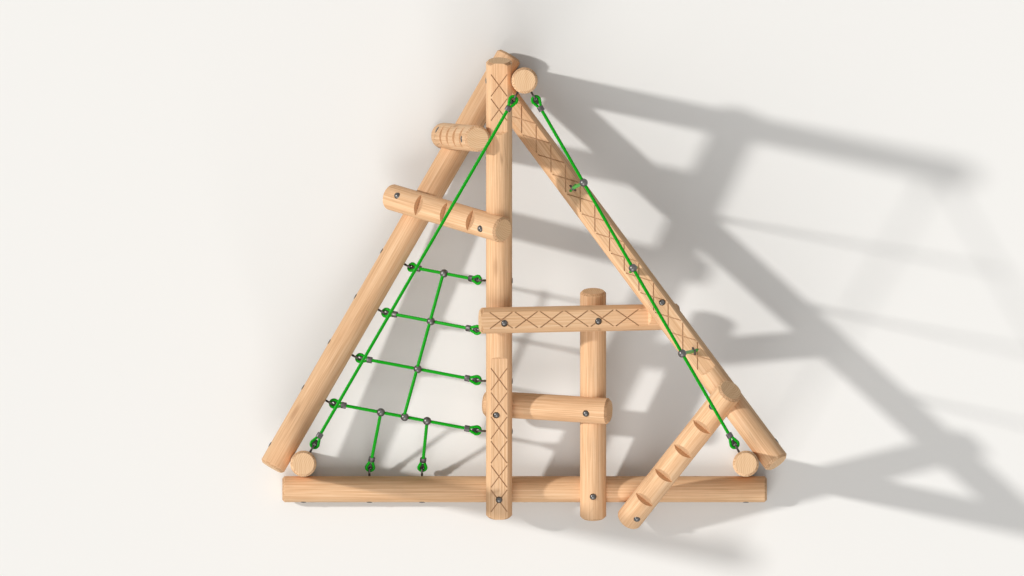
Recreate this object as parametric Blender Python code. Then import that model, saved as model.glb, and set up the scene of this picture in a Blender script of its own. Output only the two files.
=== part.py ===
# Log climbing frame on a triangle of three posts: crossed and notched logs, a rope net and two high ropes.

import math

import bmesh
import bpy
from mathutils import Matrix, Vector

# Sizes in metres. X runs along the base log, Y towards the apex post, Z up from the ground.
POST_SPACING = 2.100
POST_HEIGHT = 1.500
LOG_DIAMETER = 0.125
END_CHAMFER = 0.011
GAP = 0.0003
SEAT_DEPTH = 0.004
FLAT_HEIGHT = 0.0484
FLAT_LENGTH = 0.800
TOP_FLAT_LENGTH = 0.339
TOP_CROSS_FIRST = 0.108
RIGHT_FLAT_SHORT_BY = 0.556
FLAT_RUN_OUT = 0.0135
CROSS_PITCH = 0.121
CROSS_FIRST = 0.095
CROSS_HALF_LENGTH = 0.0545
CROSS_HALF_WIDTH = 0.0385
GROOVE_WIDTH = 0.005
GROOVE_DEPTH = 0.004
NOTCH_DEPTH = 0.028
NOTCH_RUN = 0.053
HEAD_RADIUS = 0.016
HEAD_RIM = 0.0015
HEAD_HEIGHT = 0.012
NUT_HEIGHT = 0.006
SHANK_RADIUS = 0.006
BOLT_PAST_AXIS = 0.030
EYE_WIRE_RADIUS = 0.005
EYE_RADIUS = 0.016
EYE_STANDOFF = 0.0233
EYE_SCREW_DEPTH = 0.042
ROPE_RADIUS = 0.008
LOOP_RADIUS = 0.018
LOOP_TUBE_RADIUS = 0.007
LEG_OFFSET = 0.0071
LOOP_TO_FERRULE = 0.0345
FERRULE_LENGTH = 0.025
FERRULE_HALF_WIDTH = 0.0152
FERRULE_HALF_HEIGHT = 0.0095
BALL_RADIUS = 0.020
HIGH_ROPE_BELOW_TOP = 0.095
NET_ROWS = 4
NET_ROPE_TAIL = 0.009
NOTCH_FIRST = 0.202
STEEP_NOTCH_PITCH = 0.159
UPPER_NOTCH_FIRST = 0.225
UPPER_NOTCH_PITCH = 0.178
LOWER_NOTCH_PITCH = 0.204
CUTTER_REACH = 0.050

# Angles in degrees.
CENTRE_LOG_LEAN = 17.5
RISER_LEAN = 17.0
LEFT_LOG_LEAN = 5.16
BEAM_HEADING = 181.2
STEP_HEADING = -3.57
STEEP_RUNG_HEADING = -4.7
UPPER_RUNG_HEADING = -16.5
LOWER_RUNG_HEADING = 51.7

# Places and reaches as shares of the post spacing: across and up the plan from the middle of the front
# posts, and before and after that point along the log's plan line, or along the log for eyes and balls.
BASE_OVERHANG = 0.0476
LEFT_LOG_REACH = (0.0329, 0.0431)
CENTRE_LOG_REACH = (0.0624, 0.9686)
RISER_ACROSS = 0.1548
RISER_REACH = (0.0648, 0.4476)
BEAM_PLACE = (0.1548, 0.3284)
BEAM_REACH = (0.1938, 0.2557)
STEP_PLACE = (-0.0285, 0.1323)
STEP_REACH = (0.0613, 0.2210)
RIGHT_LOG_REACH = (0.0267, 1.0348)
STEEP_RUNG_PLACE = (-0.1182, 0.7355)
STEEP_RUNG_PAST = 0.0118
UPPER_RUNG_PLACE = (-0.1686, 0.5635)
UPPER_RUNG_REACH = (0.1400, 0.1256)
LOWER_RUNG_ACROSS = 0.2893
LOWER_RUNG_REACH = (0.0875, 0.2851)
HIGH_ROPE_BALLS = (0.2667, 0.4895, 0.7124)
HANGER_EYES = (0.3071, 0.5452, 0.7833)
NET_LEFT_FIRST = 0.5303
NET_RIGHT_FIRST = 0.5600
NET_PITCH = 0.1190
DROP_EYES = (0.1492, 0.2681)
NET_BALL_SHARE = 0.5
DROP_BALL_SHARE = (0.337, 0.643)

LOG_RADIUS = LOG_DIAMETER / 2
APEX_DEPTH = POST_SPACING * math.sqrt(3) / 2
SEATED = LOG_DIAMETER - SEAT_DEPTH
HALF_LAPPED = LOG_RADIUS
BASE_LINE = -SEATED
HIGH_ROPE_HEIGHT = POST_HEIGHT - HIGH_ROPE_BELOW_TOP
LOG_SIDES = 24
BOLT_SIDES = 10
ROPE_SIDES = 10

# The plan's middle, measured from the middle of the line between the two front posts.
PLAN_MIDDLE = Vector((-0.0025, 0.8272, 0.0))

APEX = Vector((0.0, APEX_DEPTH, 0.0)) - PLAN_MIDDLE
LEFT = Vector((-POST_SPACING / 2, 0.0, 0.0)) - PLAN_MIDDLE
RIGHT = Vector((POST_SPACING / 2, 0.0, 0.0)) - PLAN_MIDDLE
UP = Vector((0.0, 0.0, 1.0))

WOOD = ("wood", (0.80, 0.56, 0.35), 0.65, 0.0)
STEEL = ("steel", (0.22, 0.21, 0.21), 0.35, 0.9)
GREEN = ("rope_green", (0.05, 0.45, 0.06), 0.55, 0.0)


def clear_scene():
    for item in list(bpy.data.objects):
        bpy.data.objects.remove(item)


def material_for(look, name):
    kind, colour, roughness, metallic = look
    material = bpy.data.materials.new(f"{kind}_{name}")
    material.use_nodes = True
    shader = material.node_tree.nodes["Principled BSDF"]
    shader.inputs["Base Color"].default_value = (*colour, 1.0)
    shader.inputs["Roughness"].default_value = roughness
    shader.inputs["Metallic"].default_value = metallic
    material.diffuse_color = (*colour, 1.0)
    return material


def frame_along(direction, top):
    """Rotation whose Z runs along the direction and whose Y leans towards the top vector."""
    z = direction.normalized()
    x = top.cross(z).normalized()
    y = z.cross(x)
    return Matrix((x, y, z)).transposed().to_4x4()


def side_vector(direction):
    return UP if abs(direction.normalized().z) < 0.9 else Vector((0.0, 1.0, 0.0))


def object_from(name, verts, faces, matrix):
    mesh = bpy.data.meshes.new(name)
    mesh.from_pydata([tuple(v) for v in verts], [], faces)
    mesh.update()
    item = bpy.data.objects.new(name, mesh)
    item.matrix_world = matrix
    bpy.context.scene.collection.objects.link(item)
    return item


def lathe(name, profile, sides, matrix):
    """Closed solid turned about Z from (radius, height) pairs; a radius of zero closes the end."""
    verts, faces, rings = [], [], []
    for radius, height in profile:
        if radius < 1e-9:
            rings.append([len(verts)])
            verts.append((0.0, 0.0, height))
            continue
        rings.append(list(range(len(verts), len(verts) + sides)))
        for i in range(sides):
            angle = 2 * math.pi * (i + 0.5) / sides
            verts.append((radius * math.cos(angle), radius * math.sin(angle), height))
    for low, high in zip(rings, rings[1:]):
        for i in range(sides):
            j = (i + 1) % sides
            if len(low) == 1:
                faces.append((low[0], high[j], high[i]))
            elif len(high) == 1:
                faces.append((low[i], low[j], high[0]))
            else:
                faces.append((low[i], low[j], high[j], high[i]))
    if len(rings[0]) > 1:
        faces.append(tuple(reversed(rings[0])))
    if len(rings[-1]) > 1:
        faces.append(tuple(rings[-1]))
    return object_from(name, verts, faces, matrix)


def prism(name, outline, half_width, matrix):
    """Solid drawn in the Y-Z plane and pushed out to both sides in X."""
    count = len(outline)
    verts = [(-half_width, y, z) for y, z in outline] + [(half_width, y, z) for y, z in outline]
    faces = [tuple(range(count)), tuple(reversed(range(count, 2 * count)))]
    for i in range(count):
        j = (i + 1) % count
        faces.append((j, i, i + count, j + count))
    item = object_from(name, verts, faces, matrix)
    make_outward(item)
    return item


def make_outward(item):
    build = bmesh.new()
    build.from_mesh(item.data)
    bmesh.ops.recalc_face_normals(build, faces=build.faces)
    build.to_mesh(item.data)
    build.free()


def boxes(name, places, size, matrix):
    """Separate boxes, each at (centre, turn about Y), as one cutter."""
    verts, faces = [], []
    for centre, turn in places:
        spin = Matrix.Rotation(turn, 3, "Y")
        base = len(verts)
        for sx in (-1, 1):
            for sy in (-1, 1):
                for sz in (-1, 1):
                    corner = Vector((sx * size[0] / 2, sy * size[1] / 2, sz * size[2] / 2))
                    verts.append(Vector(centre) + spin @ corner)
        for quad in ((0, 1, 3, 2), (4, 6, 7, 5), (0, 4, 5, 1), (2, 3, 7, 6), (0, 2, 6, 4), (1, 5, 7, 3)):
            faces.append(tuple(base + i for i in quad))
    item = object_from(name, verts, faces, matrix)
    make_outward(item)
    return item


def tube(name, points, radius, sides, first_side=None):
    """Round bar swept along the points, with flat ends."""
    verts, faces = [], []
    count = len(points)
    tangents = []
    for i in range(count):
        before = points[max(i - 1, 0)]
        after = points[min(i + 1, count - 1)]
        tangents.append((after - before).normalized())
    side = first_side or side_vector(tangents[0])
    for point, tangent in zip(points, tangents):
        side = (side - tangent * side.dot(tangent)).normalized()
        across = tangent.cross(side)
        for i in range(sides):
            angle = 2 * math.pi * i / sides
            verts.append(point + side * (radius * math.cos(angle)) + across * (radius * math.sin(angle)))
    for ring in range(count - 1):
        for i in range(sides):
            j = (i + 1) % sides
            low, high = ring * sides, (ring + 1) * sides
            faces.append((low + i, low + j, high + j))
            faces.append((low + i, high + j, high + i))
    faces.append(tuple(reversed(range(sides))))
    faces.append(tuple(range((count - 1) * sides, count * sides)))
    return object_from(name, verts, faces, Matrix.Identity(4))


def combine(target, other, operation):
    """Applies one Boolean to the target's mesh and removes the other object."""
    step = target.modifiers.new("combine", "BOOLEAN")
    step.operation = operation
    step.solver = "EXACT"
    step.object = other
    graph = bpy.context.evaluated_depsgraph_get()
    graph.update()
    result = bpy.data.meshes.new_from_object(target.evaluated_get(graph))
    target.modifiers.clear()
    target.data = result
    bpy.data.objects.remove(other)


# Every log is a dictionary of its low end, axis, top direction and length.
def straight_log(name, low_end, axis, length):
    axis = axis.normalized()
    lean = UP if abs(axis.z) < 0.999 else Vector((0.0, 1.0, 0.0))
    place = Matrix.Translation(low_end) @ frame_along(axis, lean)
    return {"name": name, "low": low_end, "axis": axis, "length": length, "place": place,
            "top": place.to_3x3() @ Vector((0.0, 1.0, 0.0)), "flats": []}


def plan_direction(heading):
    return Vector((math.cos(heading), math.sin(heading), 0.0))


def normal_between(lower, upper):
    """Unit common normal of two logs, pointing up from the lower one, and the distance along it."""
    normal = lower["axis"].cross(upper["axis"]).normalized()
    if normal.z < 0:
        normal.negate()
    return normal, (upper["low"] - lower["low"]).dot(normal)


def closest_points(lower, upper):
    """Points on the two axes where the common normal meets them."""
    a, b = lower["axis"], upper["axis"]
    between = upper["low"] - lower["low"]
    dot = a.dot(b)
    scale = 1 - dot * dot
    along_a = (between.dot(a) - between.dot(b) * dot) / scale
    along_b = (between.dot(a) * dot - between.dot(b)) / scale
    return lower["low"] + a * along_a, upper["low"] + b * along_b


def rise_and_height(point, heading, rests, rise, height):
    """Newton steps for the rise and height at which a log lies on two others at the given distances."""
    flat = plan_direction(heading)

    def misses(rise, height):
        trial = {"low": Vector((point.x, point.y, height)), "axis": (flat + UP * rise).normalized()}
        return [normal_between(lower, trial)[1] - distance for lower, distance in rests]

    step = LOG_DIAMETER / 100
    for _ in range(30):
        here = misses(rise, height)
        by_rise = [(a - b) / step for a, b in zip(misses(rise + step, height), here)]
        by_height = [(a - b) / step for a, b in zip(misses(rise, height + step), here)]
        scale = by_rise[0] * by_height[1] - by_rise[1] * by_height[0]
        rise -= (here[0] * by_height[1] - here[1] * by_height[0]) / scale
        height -= (here[1] * by_rise[0] - here[0] * by_rise[1]) / scale
    return rise, height


def plan(across, up):
    """Point of the plan from its shares of the post spacing."""
    return Vector((across, up, 0.0)) * POST_SPACING - PLAN_MIDDLE


def log_through(name, point, heading, rise, height, reach):
    """Log over a plan point, reaching the given shares of the post spacing before and after it."""
    slope = plan_direction(heading) + UP * rise
    before, after = (share * POST_SPACING for share in reach)
    low_end = Vector((point.x, point.y, height)) - slope * before
    return straight_log(name, low_end, slope, (before + after) * slope.length)


def resting_log(name, point, heading, rests, lean, reach):
    """Log that lies on two others. Its lean is only the first guess for the solver."""
    heading = math.radians(heading)
    rise, height = rise_and_height(point, heading, rests, math.tan(math.radians(lean)), LOG_DIAMETER)
    return log_through(name, point, heading, rise, height, reach)


def log_on_base(name, across, lean, spacing, reach):
    """Log up the plan that crosses the base log at the given distance between their axes."""
    lean = math.radians(lean)
    point = Vector((across, BASE_LINE, 0.0)) - PLAN_MIDDLE
    height = LOG_RADIUS + spacing / math.cos(lean)
    return log_through(name, point, math.radians(90), math.tan(lean), height, reach)


def foot_height(lean):
    """Height of the axis at a log's low end when its rim stands on the ground."""
    rim = (LOG_RADIUS - END_CHAMFER) * math.cos(lean)
    body = LOG_RADIUS * math.cos(lean) - END_CHAMFER * math.sin(lean)
    return max(rim, body) + GAP


def layout():
    """Places every log."""
    logs = {}
    for name, foot in (("post_apex", APEX), ("post_left", LEFT), ("post_right", RIGHT)):
        logs[name] = straight_log(name, foot.copy(), UP, POST_HEIGHT)
    base_length = POST_SPACING * (1 + 2 * BASE_OVERHANG)
    base_start = Vector((-base_length / 2, BASE_LINE, LOG_RADIUS)) - PLAN_MIDDLE
    base = straight_log("log_base", base_start, Vector((1, 0, 0)), base_length)

    # The left log lies outside the left and apex posts, with its low end on the ground past the apex.
    lean = math.radians(LEFT_LOG_LEAN)
    slope = plan_direction(math.radians(240)) + UP * math.tan(lean)
    outward = plan_direction(math.radians(150))
    before, after = (share * POST_SPACING for share in LEFT_LOG_REACH)
    start = APEX + outward * SEATED - plan_direction(math.radians(240)) * before + UP * foot_height(lean)
    left = straight_log("log_left", start, slope, (before + POST_SPACING + after) * slope.length)

    centre = log_on_base("log_centre", -SEATED, CENTRE_LOG_LEAN, SEATED, CENTRE_LOG_REACH)
    riser_across = RISER_ACROSS * POST_SPACING
    riser = log_on_base("log_short_riser", riser_across, RISER_LEAN, HALF_LAPPED, RISER_REACH)
    # The step lies over the riser and under the central log, so that one distance is negative.
    step = resting_log("log_step", plan(*STEP_PLACE), STEP_HEADING,
                       [(centre, -SEATED), (riser, HALF_LAPPED)], 15, STEP_REACH)
    beam = resting_log("log_beam", plan(*BEAM_PLACE), BEAM_HEADING,
                       [(centre, SEATED), (riser, SEATED)], 9, BEAM_REACH)

    # The right log passes inside the apex post and outside the right one, and is seated on both.
    heading = math.degrees(math.asin(2 * SEATED / POST_SPACING)) - 60
    beside_apex = APEX + plan_direction(math.radians(heading - 90)) * SEATED
    right = resting_log("log_right", beside_apex, heading, [(left, SEATED), (beam, SEATED)], 16,
                        RIGHT_LOG_REACH)

    steep = resting_log("rung_steep", plan(*STEEP_RUNG_PLACE), STEEP_RUNG_HEADING,
                        [(left, HALF_LAPPED), (centre, SEATED)], 79, (0.0, STEEP_RUNG_PAST))
    steep = stand_on_ground(steep)
    upper = resting_log("rung_upper", plan(*UPPER_RUNG_PLACE), UPPER_RUNG_HEADING,
                        [(left, SEATED), (centre, HALF_LAPPED)], 44, UPPER_RUNG_REACH)
    across = LOWER_RUNG_ACROSS * POST_SPACING
    lower = resting_log("rung_lower", Vector((across, BASE_LINE, 0.0)) - PLAN_MIDDLE, LOWER_RUNG_HEADING,
                        [(base, SEATED), (right, HALF_LAPPED)], 45, LOWER_RUNG_REACH)
    for log in (base, left, centre, riser, step, beam, right, steep, upper, lower):
        logs[log["name"]] = log
    return logs


def stand_on_ground(log):
    """The same log, with its low end drawn down to the ground."""
    lean = math.asin(log["axis"].z)
    further = (log["low"].z - foot_height(lean)) / log["axis"].z
    return straight_log(log["name"], log["low"] - log["axis"] * further, log["axis"], log["length"] + further)


def straight_run(radius, start, end):
    return [(radius, start), (radius, end)]


def bare_log(log):
    radius, length = LOG_RADIUS, log["length"]
    is_post = log["name"].startswith("post")
    low_chamfer = 0.0 if is_post else END_CHAMFER
    profile = [(radius - low_chamfer, 0.0)] if low_chamfer else []
    profile += [(radius, low_chamfer), (radius, length - END_CHAMFER), (radius - END_CHAMFER, length)]
    return lathe(log["name"], profile, LOG_SIDES, log["place"])


def log_cutter(log):
    radius = LOG_RADIUS + GAP / math.cos(math.pi / LOG_SIDES)
    profile = [(radius, -CUTTER_REACH), (radius, log["length"] + CUTTER_REACH)]
    return lathe("cutter", profile, LOG_SIDES, log["place"])


def cut_flat(item, log, start, end):
    """Planes the top of the log between two distances from its low end; an end inside the log runs out."""
    over = LOG_RADIUS + END_CHAMFER
    lift = over - FLAT_HEIGHT
    slant = FLAT_RUN_OUT / (LOG_RADIUS - FLAT_HEIGHT) * lift
    low_slant = slant if start > 0 else 0.0
    high_slant = slant if end < log["length"] else 0.0
    outline = [(FLAT_HEIGHT, start), (FLAT_HEIGHT, end), (over, end + high_slant), (over, start - low_slant)]
    combine(item, prism("cutter", outline, LOG_DIAMETER, log["place"]), "DIFFERENCE")
    log["flats"].append((start, end))


def cut_crosses(item, log, first, count):
    """Grooves the flat with a row of crosses."""
    length = 2 * math.hypot(CROSS_HALF_LENGTH, CROSS_HALF_WIDTH)
    lean = math.atan2(CROSS_HALF_WIDTH, CROSS_HALF_LENGTH)
    height = CUTTER_REACH / 2
    middle = FLAT_HEIGHT - GROOVE_DEPTH + height / 2
    for turn in (lean, -lean):
        places = [((0.0, middle, first + i * CROSS_PITCH), turn) for i in range(count)]
        cutter = boxes("cutter", places, (GROOVE_WIDTH, height, length), log["place"])
        combine(item, cutter, "DIFFERENCE")


def cut_notches(item, log, first, pitch, count):
    """Footholds with a square wall on the low side and a ramp on the high side."""
    over = LOG_RADIUS + NOTCH_DEPTH / 4
    floor = LOG_RADIUS - NOTCH_DEPTH
    for i in range(count):
        start = first + i * pitch
        far = start + NOTCH_RUN / NOTCH_DEPTH * (over - floor)
        outline = [(floor, start), (over, start), (over, far)]
        combine(item, prism("cutter", outline, LOG_DIAMETER, log["place"]), "DIFFERENCE")


def surface_distance(log, point, normal):
    """Distance from a point on the axis to the log's face along the normal, and the tilt to a planed face."""
    along = (point - log["low"]).dot(log["axis"])
    leaning = normal.dot(log["top"])
    on_flat = any(start < along < end for start, end in log["flats"])
    if on_flat and leaning > 0.8:
        return FLAT_HEIGHT / leaning, math.acos(min(leaning, 1.0))
    return LOG_RADIUS, None


def dome(radius, height, top, steps=2):
    """Profile of a domed head from its rim up to its crown."""
    pairs = []
    for i in range(steps + 1):
        angle = math.pi / 2 * i / steps
        pairs.append((radius * math.cos(angle) if i < steps else 0.0, top + height * math.sin(angle)))
    return pairs


def joint_bolt(name, items, logs, upper_name, lower_name):
    """Bolt along the common normal of two logs, with its dome head on the upper or outer one."""
    upper, lower = logs[upper_name], logs[lower_name]
    low_point, high_point = closest_points(lower, upper)
    normal = (high_point - low_point).normalized()
    surface, tilt = surface_distance(upper, high_point, normal)
    if tilt is None:
        sink = LOG_RADIUS - math.sqrt(LOG_RADIUS**2 - (HEAD_RADIUS + GAP) ** 2) + GAP
    else:
        sink = (HEAD_RADIUS + GAP) * math.tan(tilt) + GAP
    spacing = (high_point - low_point).length
    seat = spacing + surface - sink
    place = Matrix.Translation(low_point) @ frame_along(normal, side_vector(normal))
    tip = -BOLT_PAST_AXIS
    profile = [(SHANK_RADIUS, tip), (SHANK_RADIUS, seat), (HEAD_RADIUS, seat)]
    profile += dome(HEAD_RADIUS, HEAD_HEIGHT, seat + HEAD_RIM)
    bolt = lathe(name, profile, BOLT_SIDES, place)
    wide = GAP / math.cos(math.pi / BOLT_SIDES)
    hole = [(SHANK_RADIUS + wide, tip - GAP), (SHANK_RADIUS + wide, seat - GAP),
            (HEAD_RADIUS + wide, seat - GAP), (HEAD_RADIUS + wide, seat + CUTTER_REACH)]
    for log_name in (upper_name, lower_name):
        combine(items[log_name], lathe("cutter", hole, BOLT_SIDES, place), "DIFFERENCE")
    return bolt


def eye_bolt(name, item, log, point, outward, rope_to, screwed):
    """Ring on a shank through the log. The ring's plane holds the shank and the rope it takes."""
    surface, _ = surface_distance(log, point, outward)
    centre = point + outward * (surface + EYE_STANDOFF)
    rope = (rope_to - centre).normalized()
    normal = outward.cross(rope)
    if normal.length < 0.02:
        normal = outward.cross(UP)
    normal.normalize()
    place = Matrix.Translation(point) @ frame_along(outward, side_vector(outward))
    wide = GAP / math.cos(math.pi / 8)
    top = surface + EYE_STANDOFF - EYE_RADIUS
    if screwed:
        tip = surface - EYE_SCREW_DEPTH
        profile = [(EYE_WIRE_RADIUS, tip), (EYE_WIRE_RADIUS, top)]
        hole = [(EYE_WIRE_RADIUS + wide, tip - GAP), (EYE_WIRE_RADIUS + wide, surface + CUTTER_REACH)]
        combine(item, lathe("cutter", hole, 8, place), "DIFFERENCE")
        shank = lathe(name, profile, 8, place)
    else:
        sink = LOG_RADIUS - math.sqrt(LOG_RADIUS**2 - (HEAD_RADIUS + GAP) ** 2) + GAP
        seat = -(LOG_RADIUS - sink)
        profile = [(radius, -height) for radius, height in reversed(dome(HEAD_RADIUS, NUT_HEIGHT, -seat + HEAD_RIM))]
        profile += [(HEAD_RADIUS, seat), (EYE_WIRE_RADIUS, seat), (EYE_WIRE_RADIUS, top)]
        hole = [(HEAD_RADIUS + wide, seat - CUTTER_REACH), (HEAD_RADIUS + wide, seat + GAP),
                (EYE_WIRE_RADIUS + wide, seat + GAP), (EYE_WIRE_RADIUS + wide, surface + CUTTER_REACH)]
        combine(item, lathe("cutter", hole, 8, place), "DIFFERENCE")
        shank = lathe(name, profile, 8, place)
    combine(shank, ring(centre, normal, EYE_RADIUS, EYE_WIRE_RADIUS, 12, 6), "UNION")
    return shank, centre, normal


def ring(centre, normal, radius, wire, steps, sides):
    """Round ring of round wire about a normal."""
    place = Matrix.Translation(centre) @ frame_along(normal, side_vector(normal))
    verts, faces = [], []
    for i in range(steps):
        turn = 2 * math.pi * i / steps
        for j in range(sides):
            angle = 2 * math.pi * j / sides
            reach = radius + wire * math.cos(angle)
            verts.append((reach * math.cos(turn), reach * math.sin(turn), wire * math.sin(angle)))
    for i in range(steps):
        for j in range(sides):
            a, b = i * sides + j, i * sides + (j + 1) % sides
            c, d = ((i + 1) % steps) * sides + (j + 1) % sides, ((i + 1) % steps) * sides + j
            faces.append((a, d, c, b))
    item = object_from("ring", verts, faces, place)
    make_outward(item)
    return item


def eye_end(item, ring_centre, rope, across):
    """Adds a rope's eye to it: the loop through the ring, drawn into a pressed oval ferrule."""
    middle = ring_centre + rope * (EYE_RADIUS - EYE_WIRE_RADIUS - GAP + LOOP_RADIUS - LOOP_TUBE_RADIUS)
    inside = LOOP_TO_FERRULE + FERRULE_LENGTH / 3
    bend = LOOP_TO_FERRULE - FERRULE_LENGTH / 12
    leave = math.atan2(LEG_OFFSET, bend) + math.acos(LOOP_RADIUS / math.hypot(bend, LEG_OFFSET))
    outline = [(inside, LEG_OFFSET), (bend, LEG_OFFSET)]
    steps = 8
    for i in range(steps + 1):
        angle = leave + 2 * (math.pi - leave) * i / steps
        outline.append((LOOP_RADIUS * math.cos(angle), LOOP_RADIUS * math.sin(angle)))
    outline += [(bend, -LEG_OFFSET), (inside, -LEG_OFFSET)]
    points = [middle + rope * along + across * aside for along, aside in outline]
    facing = rope.cross(across)
    combine(item, tube("loop", points, LOOP_TUBE_RADIUS, 6, facing), "UNION")
    place = Matrix.Translation(middle + rope * LOOP_TO_FERRULE) @ frame_along(rope, facing)
    place = place @ Matrix.Diagonal((1.0, FERRULE_HALF_HEIGHT / FERRULE_HALF_WIDTH, 1.0, 1.0))
    profile = [(FERRULE_HALF_WIDTH, 0.0), (FERRULE_HALF_WIDTH, FERRULE_LENGTH)]
    combine(item, lathe("ferrule", profile, 12, place), "UNION")


def rope_start():
    """Distance from a ring's centre to where the rope's straight part leaves the middle of the ferrule."""
    loop = LOOP_RADIUS - LOOP_TUBE_RADIUS + LOOP_TO_FERRULE
    return EYE_RADIUS - EYE_WIRE_RADIUS - GAP + loop + FERRULE_LENGTH / 2


def rope_profile(length, balls):
    """Turned outline of a straight rope with balls at the given distances along it."""
    profile = [(ROPE_RADIUS, 0.0)]
    for at in balls:
        half = math.sqrt(BALL_RADIUS**2 - ROPE_RADIUS**2)
        leave = math.atan2(ROPE_RADIUS, half)
        steps = 6
        for i in range(steps + 1):
            angle = math.pi - leave - (math.pi - 2 * leave) * i / steps
            profile.append((BALL_RADIUS * math.sin(angle), at + BALL_RADIUS * math.cos(angle)))
    profile.append((ROPE_RADIUS, length))
    return profile


def looped_rope(name, start, end, balls):
    """Rope between two rings. Balls are distances from the start ring's centre."""
    from_centre, from_normal = start
    to_centre, to_normal = end
    rope = (to_centre - from_centre).normalized()
    offset = rope_start()
    length = (to_centre - from_centre).length - 2 * offset
    place = Matrix.Translation(from_centre + rope * offset) @ frame_along(rope, side_vector(rope))
    item = lathe(name, rope_profile(length, [at - offset for at in balls]), ROPE_SIDES, place)
    eye_end(item, from_centre, rope, from_normal)
    eye_end(item, to_centre, -rope, to_normal)
    return item


def hung_rope(name, start, ball_centre):
    """Rope from a ring into the underside of a ball."""
    from_centre, from_normal = start
    rope = (ball_centre - from_centre).normalized()
    offset = rope_start()
    length = (ball_centre - from_centre).length - offset - ROPE_RADIUS - 3 * GAP
    place = Matrix.Translation(from_centre + rope * offset) @ frame_along(rope, side_vector(rope))
    item = lathe(name, rope_profile(length, []), ROPE_SIDES, place)
    eye_end(item, from_centre, rope, from_normal)
    return item


def bore_ball(item, ball_centre, direction):
    """Socket in a ball for the end of a hung rope."""
    place = Matrix.Translation(ball_centre) @ frame_along(-direction, side_vector(-direction))
    radius = ROPE_RADIUS + GAP / math.cos(math.pi / ROPE_SIDES)
    socket = [(radius, -CUTTER_REACH), (radius, -ROPE_RADIUS - 2 * GAP)]
    combine(item, lathe("cutter", socket, ROPE_SIDES, place), "DIFFERENCE")


def tread(item, log, start, end, first, count):
    """A planed flat with its row of crosses; both are measured from the low end."""
    cut_flat(item, log, start, end)
    cut_crosses(item, log, first, count)


def build_logs(logs):
    items = {name: bare_log(log) for name, log in logs.items()}
    over = CUTTER_REACH
    centre, beam, right = logs["log_centre"], logs["log_beam"], logs["log_right"]
    tread(items["log_centre"], centre, -over, FLAT_LENGTH, CROSS_FIRST, 6)
    end = centre["length"]
    tread(items["log_centre"], centre, end - TOP_FLAT_LENGTH, end + over,
          end - TOP_CROSS_FIRST - CROSS_PITCH, 2)
    end = beam["length"]
    tread(items["log_beam"], beam, end - FLAT_LENGTH, end + over, end - CROSS_FIRST - 5 * CROSS_PITCH, 6)
    flat_end = right["length"] - RIGHT_FLAT_SHORT_BY
    count = int((flat_end - CROSS_FIRST - CROSS_HALF_LENGTH) / CROSS_PITCH) + 1
    tread(items["log_right"], right, -over, flat_end, CROSS_FIRST, count)
    cut_notches(items["rung_steep"], logs["rung_steep"], NOTCH_FIRST, STEEP_NOTCH_PITCH, 4)
    cut_notches(items["rung_upper"], logs["rung_upper"], UPPER_NOTCH_FIRST, UPPER_NOTCH_PITCH, 3)
    cut_notches(items["rung_lower"], logs["rung_lower"], NOTCH_FIRST, LOWER_NOTCH_PITCH, 4)
    seats = (
        ("log_base", ("post_left", "post_right")),
        ("log_left", ("post_left", "post_apex")),
        ("log_centre", ("log_base", "post_apex", "log_step")),
        ("log_short_riser", ("log_base",)),
        ("log_step", ("log_short_riser",)),
        ("log_beam", ("log_centre", "log_short_riser")),
        ("log_right", ("log_left", "log_beam", "post_apex", "post_right")),
        ("rung_steep", ("log_left", "log_centre")),
        ("rung_upper", ("log_left", "log_centre")),
        ("rung_lower", ("log_base", "log_right")),
    )
    for name, others in seats:
        for other in others:
            combine(items[name], log_cutter(logs[other]), "DIFFERENCE")
    return items


BOLTS = (
    ("bolt_centre_base", "log_centre", "log_base"),
    ("bolt_centre_step", "log_centre", "log_step"),
    ("bolt_riser_base", "log_short_riser", "log_base"),
    ("bolt_step_riser", "log_step", "log_short_riser"),
    ("bolt_beam_centre", "log_beam", "log_centre"),
    ("bolt_beam_riser", "log_beam", "log_short_riser"),
    ("bolt_right_beam", "log_right", "log_beam"),
    ("bolt_steep_left", "rung_steep", "log_left"),
    ("bolt_steep_centre", "rung_steep", "log_centre"),
    ("bolt_upper_left", "rung_upper", "log_left"),
    ("bolt_upper_centre", "rung_upper", "log_centre"),
    ("bolt_lower_base", "rung_lower", "log_base"),
    ("bolt_lower_right", "rung_lower", "log_right"),
    ("bolt_base_post_left", "log_base", "post_left"),
    ("bolt_base_post_right", "log_base", "post_right"),
    ("bolt_left_post_left", "log_left", "post_left"),
    ("bolt_centre_post_apex", "log_centre", "post_apex"),
    ("bolt_right_post_right", "log_right", "post_right"),
)


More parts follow.
